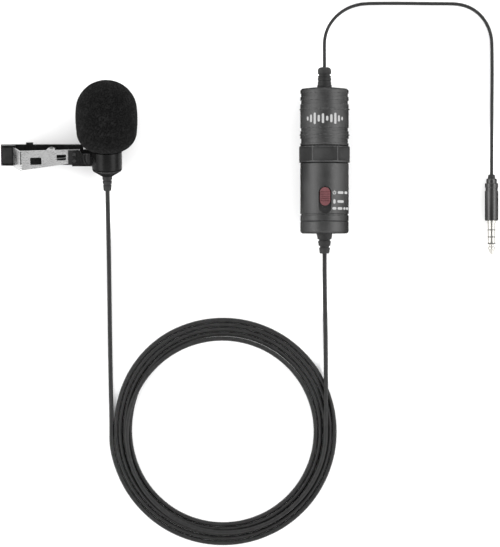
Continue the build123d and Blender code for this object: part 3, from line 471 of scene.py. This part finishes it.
def add_prints():
    """A row of sound-wave bars on the upper case, and three rows of small signs beside the switch."""
    first = -WAVE_PITCH * (len(WAVE_HEIGHTS) - 1) / 2
    wave = [bar(first + WAVE_PITCH * i, WAVE_Y, WAVE_BAR, h) for i, h in enumerate(WAVE_HEIGHTS)]
    icons = [
        [open_ring(ROW_X, ROW_Y[0], ICON, STROKE, RING_GAP), bar(ROW_X, ROW_Y[0] + 0.5, STROKE, 1.0)],
        [bar(ROW_X, ROW_Y[1], ROW_HEIGHT, 2.0)],
        [],
    ]
    signs = []
    for y, icon, dashes in zip(ROW_Y, icons, ROW_DASHES):
        signs += icon + [dash(ROW_X + across, y, length, ROW_HEIGHT) for across, length in dashes]
    return [
        add_print("sound_wave_print", wave, "upper_half"),
        add_print("switch_print", signs, "power_pack"),
    ]


prints = add_prints()


# ---------------------------------------------------------------- materials
# Where noise turns from one tone to the other, and how well a rounded normal agrees on an edge.
MIDDLE = (0.3, 0.7)
EDGE_RANGE = (0.995, 0.9)
# How much lighter than the light tone a rubbed edge, a painted glint on blasted metal, or dust is.
RUBBED_GREY = 3
RUBBED_COLOUR = 1.6
RUBBED_METAL = 3.5
PAINTED_GLINT = 2.2
DUST = 3


class Paint:
    """One Principled material whose colour, roughness and relief come from nodes in rest coordinates."""

    def __init__(self, name, **numbers):
        self.material = bpy.data.materials.new(name)
        self.material.use_nodes = True
        self.tree = self.material.node_tree
        self.shader = self.tree.nodes["Principled BSDF"]
        for socket, value in numbers.items():
            self.shader.inputs[socket.replace("_", " ")].default_value = value
        self.place = self.node("TexCoord").outputs["Object"]
        self.normal = None

    def node(self, kind, inputs=(), **settings):
        """A node with its settings, and a number or another node's output on each input named."""
        made = self.tree.nodes.new("ShaderNode" + kind)
        for name, value in settings.items():
            setattr(made, name, value)
        for name, value in dict(inputs).items():
            if isinstance(value, bpy.types.NodeSocket):
                self.tree.links.new(value, made.inputs[name])
            else:
                made.inputs[name].default_value = value
        return made

    def stretched(self, stretch):
        """The piece's coordinates, shrunk along the axes where the pattern is drawn out."""
        if stretch == (1, 1, 1):
            return self.place
        return self.node("Mapping", {"Vector": self.place, "Scale": stretch}).outputs["Vector"]

    def noise(self, size, detail=3.0, stretch=(1, 1, 1)):
        """Soft noise with features of a size in millimetres."""
        inputs = {"Vector": self.stretched(stretch), "Scale": 1 / (size * MM), "Detail": detail}
        return self.node("TexNoise", inputs).outputs["Fac"]

    def cells(self, size):
        """Distance from the walls of random cells of a size in millimetres."""
        inputs = {"Vector": self.place, "Scale": 1 / (size * MM)}
        return self.node("TexVoronoi", inputs, feature="DISTANCE_TO_EDGE").outputs["Distance"]

    def ramp(self, value, low, high, start=0.0, end=1.0):
        """The value's range from low to high, turned smoothly into start to end."""
        inputs = {"Value": value, "From Min": low, "From Max": high, "To Min": start, "To Max": end}
        return self.node("MapRange", inputs, interpolation_type="SMOOTHSTEP").outputs["Result"]

    def maths(self, first, second, operation="ADD"):
        return self.node("Math", {0: first, 1: second}, operation=operation).outputs[0]

    def colour(self, mask, dark, light):
        """The base colour between two colours, which may be outputs of other nodes."""
        mixed = self.blend(mask, dark, light)
        self.tree.links.new(mixed, self.shader.inputs["Base Color"])

    def blend(self, mask, dark, light):
        """A colour between two. The Mix node's colour sockets are its inputs 6 and 7."""
        colours = {6: as_colour(dark), 7: as_colour(light)}
        return self.node("Mix", {0: mask, **colours}, data_type="RGBA").outputs[2]

    def roughness(self, mask, low, high):
        self.tree.links.new(self.ramp(mask, *MIDDLE, low, high), self.shader.inputs["Roughness"])

    def bump(self, height, depth, strength=1.0):
        """Relief of a depth in millimetres over the relief so far."""
        inputs = {"Height": height, "Distance": depth * MM, "Strength": strength}
        if self.normal:
            inputs["Normal"] = self.normal
        self.normal = self.node("Bump", inputs).outputs["Normal"]
        self.tree.links.new(self.normal, self.shader.inputs["Normal"])

    def edges(self, radius):
        """Rounds sharp edges by a radius in millimetres, and gives a mask that is 1 on them."""
        rounded = self.node("Bevel", {"Radius": radius * MM}, samples=6).outputs["Normal"]
        flat = self.node("NewGeometry").outputs["Normal"]
        inputs = {0: rounded, 1: flat}
        aligned = self.node("VectorMath", inputs, operation="DOT_PRODUCT").outputs["Value"]
        self.normal = rounded
        return self.ramp(aligned, *EDGE_RANGE)


def as_colour(value):
    """A grey level or a colour as the four numbers that a colour socket takes."""
    if isinstance(value, (int, float)):
        return (value, value, value, 1.0)
    if isinstance(value, tuple):
        return (*value, 1.0)
    return value


def foam_paint():
    """Black open-cell foam: painted shade makes it dark in its pores, a little lighter and fuzzy on the
    cell walls.
    """
    paint = Paint("foam", Specular_IOR_Level=0.05, Sheen_Weight=0.02, Sheen_Roughness=0.6)
    depth = paint.node("Attribute", attribute_name="pore").outputs["Fac"]
    # Painted shade: 0 deep in a pore, where the foam is painted near black, 1 on the cell walls.
    painted_pore_shade_mask = paint.ramp(depth, 0.75, 0.1)
    patch = paint.noise(2.5, 4)
    lit = paint.blend(paint.ramp(patch, *MIDDLE), 0.005, 0.011)
    # Painted shade: the pores are painted near black (0.001), the cell walls keep the lighter tone.
    paint.colour(painted_pore_shade_mask, 0.001, lit)
    paint.roughness(patch, 0.9, 1.0)
    paint.bump(paint.cells(0.45), 0.12, 0.7)
    paint.bump(paint.noise(0.2), 0.06, 0.6)
    return paint.material


def moulded_paint(name, dark, light, gloss=(0.3, 0.45), grain=0.25, depth=0.012, specular=0.4):
    """Moulded plastic: fine spark grain, faint flow marks and lighter rubbed edges."""
    paint = Paint(name, Specular_IOR_Level=specular)
    edge = paint.edges(0.12)
    flow = paint.noise(3.0, 5, (1, 0.35, 1))
    body = paint.blend(paint.ramp(flow, *MIDDLE), dark, light)
    rubbed = paint.maths(edge, paint.ramp(paint.noise(0.8), 0.4, 0.65), "MULTIPLY")
    if isinstance(light, float):
        worn = RUBBED_GREY * light
    else:
        worn = tuple(min(RUBBED_COLOUR * channel, 1.0) for channel in light)
    paint.colour(rubbed, body, worn)
    paint.roughness(paint.noise(1.2, 5), *gloss)
    paint.bump(paint.noise(grain, 4), depth)
    return paint.material


def rubber_paint(name, dark, light, gloss=(0.5, 0.7)):
    """Soft black rubber or cord jacket: matt grain, with fine pale dust in places."""
    paint = Paint(name, Specular_IOR_Level=0.22)
    specks = paint.ramp(paint.noise(0.15, 2), 0.6, 0.75)
    patches = paint.ramp(paint.noise(4.0), 0.4, 0.7)
    dust = paint.maths(specks, patches, "MULTIPLY")
    body = paint.blend(paint.ramp(paint.noise(2.0, 4), *MIDDLE), dark, light)
    paint.colour(dust, body, DUST * light)
    paint.roughness(paint.noise(0.8, 4), *gloss)
    paint.bump(paint.noise(0.3, 4), 0.02)
    return paint.material


def anodised_paint(name, dark, light, gloss=(0.46, 0.58)):
    """Bead-blasted dark anodised metal: fine painted glints, handling smudges and brighter edges."""
    paint = Paint(name, Metallic=1.0, Specular_Tint=as_colour(0.12))
    edge = paint.edges(0.15)
    smudge = paint.noise(9.0, 4, (1, 0.6, 1))
    blasted = paint.noise(0.14, 2)
    body = paint.blend(paint.ramp(smudge, *MIDDLE), dark, light)
    # Painted glints: specks of the blasted noise are painted lighter, standing in for sparkle.
    spark = paint.blend(paint.ramp(blasted, 0.55, 0.8), body, PAINTED_GLINT * light)
    rubbed = paint.maths(edge, paint.ramp(paint.noise(1.0), 0.35, 0.65), "MULTIPLY")
    paint.colour(rubbed, spark, RUBBED_METAL * light)
    paint.roughness(smudge, *gloss)
    paint.bump(blasted, 0.006, 0.8)
    return paint.material


def brushed_paint(name, dark, light, gloss=(0.2, 0.34), stretch=(0.03, 1, 1)):
    """Brushed or turned metal: fine parallel lines, stretched along one axis, and small stains."""
    paint = Paint(name, Metallic=1.0)
    edge = paint.edges(0.1)
    lines = paint.noise(0.12, 3, stretch)
    stain = paint.noise(3.0, 5)
    body = paint.blend(paint.ramp(lines, *MIDDLE), dark, light)
    toned = paint.blend(paint.ramp(stain, 0.5, 0.75, 0.0, 0.35), body, dark)
    paint.colour(edge, toned, light)
    paint.roughness(paint.maths(lines, paint.maths(stain, 0.5, "SUBTRACT")), *gloss)
    paint.bump(lines, 0.006, 0.6)
    return paint.material


def board_paint():
    """Green solder mask with copper tracks showing through, on woven glass."""
    paint = Paint("circuit_green", Specular_IOR_Level=0.5)
    tracks = paint.cells(1.6)
    track = paint.ramp(tracks, 0.14, 0.08)
    paint.colour(track, (0.012, 0.10, 0.035), (0.03, 0.26, 0.09))
    paint.roughness(paint.noise(1.0), 0.25, 0.4)
    paint.bump(track, 0.03)
    paint.bump(paint.noise(0.2, 2), 0.01)
    return paint.material


def assorted_paint(name, stops, gloss):
    """Small pieces in several colours: each separate solid takes one."""
    paint = Paint(name)
    each = paint.node("NewGeometry").outputs["Random Per Island"]
    ramp = paint.node("ValToRGB", {"Fac": each})
    ramp.color_ramp.interpolation = "CONSTANT"
    while len(ramp.color_ramp.elements) < len(stops):
        ramp.color_ramp.elements.new(0.5)
    for index, stop in enumerate(stops):
        ramp.color_ramp.elements[index].position = index / len(stops)
        ramp.color_ramp.elements[index].color = as_colour(stop)
    shade = paint.ramp(paint.noise(0.5, 4), *MIDDLE, 0.0, 0.3)
    paint.colour(shade, ramp.outputs["Color"], 0.02)
    paint.roughness(paint.noise(0.4), *gloss)
    paint.bump(paint.noise(0.15), 0.01)
    return paint.material


def woven_paint():
    """Fine dark acoustic cloth: threads over and under in two directions."""
    paint = Paint("acoustic_cloth", Specular_IOR_Level=0.2)
    threads = []
    for direction in ("X", "Z"):
        inputs = {"Vector": paint.place, "Scale": 0.5 / (0.12 * MM)}
        wave = paint.node("TexWave", inputs, bands_direction=direction)
        threads.append(wave.outputs["Fac"])
    weave = paint.maths(*threads, "MAXIMUM")
    paint.colour(weave, 0.006, 0.05)
    paint.roughness(paint.noise(0.3), 0.8, 1.0)
    paint.bump(weave, 0.04)
    return paint.material


def print_paint():
    """White screen print: slightly uneven ink with pinholes."""
    paint = Paint("white_ink", Specular_IOR_Level=0.3)
    thin = paint.ramp(paint.noise(0.18, 4), 0.62, 0.72)
    paint.colour(thin, 0.32, 0.17)
    paint.roughness(paint.noise(0.3), 0.45, 0.6)
    paint.bump(paint.noise(0.1), 0.01)
    return paint.material


def table_paint():
    """A plain pale table top with a barely uneven, matt surface."""
    paint = Paint("table", Specular_IOR_Level=0.1)
    paint.colour(paint.noise(60, 3), 0.90, 0.92)
    paint.roughness(paint.noise(8), 0.7, 0.9)
    return paint.material


LEADS = [(0.45, 0.03, 0.02), (0.6, 0.6, 0.58), (0.03, 0.2, 0.06)]
CHIPS = [0.02, (0.25, 0.17, 0.09), 0.05, 0.45]
ROUND_THE_PLUG = (1, 0.03, 1)

PAINTS = {
    "foam": foam_paint(),
    "barrel_metal": anodised_paint("barrel_black", 0.03, 0.045),
    "grille_metal": brushed_paint("grille_steel", 0.3, 0.45),
    "mesh_cloth": woven_paint(),
    "black_rubber": rubber_paint("black_rubber", 0.012, 0.02),
    "capsule_can": brushed_paint("capsule_aluminium", 0.6, 0.78),
    "board_green": board_paint(),
    "wire_red": assorted_paint("lead_colours", LEADS, (0.3, 0.45)),
    "clip_plastic": moulded_paint("clip_black", 0.004, 0.008, (0.22, 0.34), 0.5, 0.005, 0.1),
    "pad_grey": rubber_paint("jaw_pad_grey", 0.008, 0.014),
    "spring_steel": brushed_paint("clip_steel", 0.4, 0.56),
    "pin_steel": brushed_paint("pin_steel", 0.12, 0.2),
    "pack_metal": anodised_paint("pack_black", 0.046, 0.064),
    "tray_plastic": moulded_paint("tray_black", 0.03, 0.05, (0.45, 0.6)),
    "component_mix": assorted_paint("components", CHIPS, (0.35, 0.5)),
    "slider_red": moulded_paint(
        "switch_red", (0.09, 0.03, 0.033), (0.13, 0.045, 0.05), (0.35, 0.5)
    ),
    "cell_steel": brushed_paint("cell_steel", 0.66, 0.8, (0.14, 0.26)),
    "contact_brass": brushed_paint("contact_gold", (0.55, 0.38, 0.12), (0.78, 0.58, 0.24)),
    "plug_black": anodised_paint("plug_black", 0.045, 0.07, (0.3, 0.42)),
    "pin_nickel": brushed_paint(
        "pin_nickel", (0.42, 0.41, 0.385), (0.5, 0.49, 0.46), (0.18, 0.3), ROUND_THE_PLUG
    ),
    "insulator_black": moulded_paint("insulator_black", 0.02, 0.035, (0.4, 0.55)),
    "cord_black": rubber_paint("cord_black", 0.009, 0.015, (0.45, 0.6)),
    "white_ink": print_paint(),
}


def dress(piece, material):
    piece.data.materials.clear()
    piece.data.materials.append(material)


for part in frame["record"]["subparts"]:
    dress(frame["nodes"][part["node"]], PAINTS[part["material_slot"]])
for piece in [mic_cord, output_lead, foam, *springs]:
    dress(piece, PAINTS[piece["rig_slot"]])
for piece in prints:
    dress(piece, PAINTS["white_ink"])

# ---------------------------------------------------------------- table and light
FLOOR_HALF = 6.0
FLOOR_CELLS = 12
FLOOR_DROP = 0.00005
BOX_DISTANCE = 1.0
BOX_ANGLE = 53.0
BOX_SIZE = (0.55, 1.5)
BOX_RADIANCE = 3.4
ROOM_LIGHT = 1.5
OVERHEAD_LIGHT = 0.3
OVERHEAD_FROM = 0.7


def add_floor():
    mesh = bmesh.new()
    bmesh.ops.create_grid(mesh, x_segments=FLOOR_CELLS, y_segments=FLOOR_CELLS, size=FLOOR_HALF)
    floor = finished_mesh("table_top", mesh, shade_smooth=False)
    floor.location = (0, 0, -FLOOR_DROP)
    dress(floor, table_paint())


def add_softbox(side):
    """A long soft light beside the object, leaning over it."""
    light = bpy.data.lights.new("softbox", "AREA")
    light.shape = "RECTANGLE"
    light.size, light.size_y = BOX_SIZE
    light.energy = BOX_RADIANCE * math.pi * BOX_SIZE[0] * BOX_SIZE[1]
    lamp = bpy.data.objects.new("softbox", light)
    middle = (cad_box[0] + cad_box[1]) / 2
    angle = side * math.radians(BOX_ANGLE)
    offset = Vector((math.sin(angle), 0, math.cos(angle))) * BOX_DISTANCE
    lamp.location = Vector((middle.x, middle.y, 0)) + offset
    lamp.rotation_euler = (0, angle, 0)
    scene.collection.objects.link(lamp)


def add_room_light():
    """Even white light from all round, dimmer from overhead, so that black gloss stays black."""
    world = bpy.data.worlds.new("studio")
    scene.world = world
    world.use_nodes = True
    tree = world.node_tree
    direction = tree.nodes.new("ShaderNodeTexCoord").outputs["Generated"]
    split = tree.nodes.new("ShaderNodeSeparateXYZ")
    fade = tree.nodes.new("ShaderNodeMapRange")
    fade.interpolation_type = "SMOOTHSTEP"
    fall = {"From Min": OVERHEAD_FROM, "From Max": 1.0, "To Min": ROOM_LIGHT, "To Max": OVERHEAD_LIGHT}
    for socket, value in fall.items():
        fade.inputs[socket].default_value = value
    background = tree.nodes["Background"]
    background.inputs["Color"].default_value = (1, 1, 1, 1)
    tree.links.new(direction, split.inputs["Vector"])
    tree.links.new(split.outputs["Z"], fade.inputs["Value"])
    tree.links.new(fade.outputs["Result"], background.inputs["Strength"])


add_floor()
for side in (1, -1):
    add_softbox(side)
add_room_light()
scene.view_settings.view_transform = "Standard"
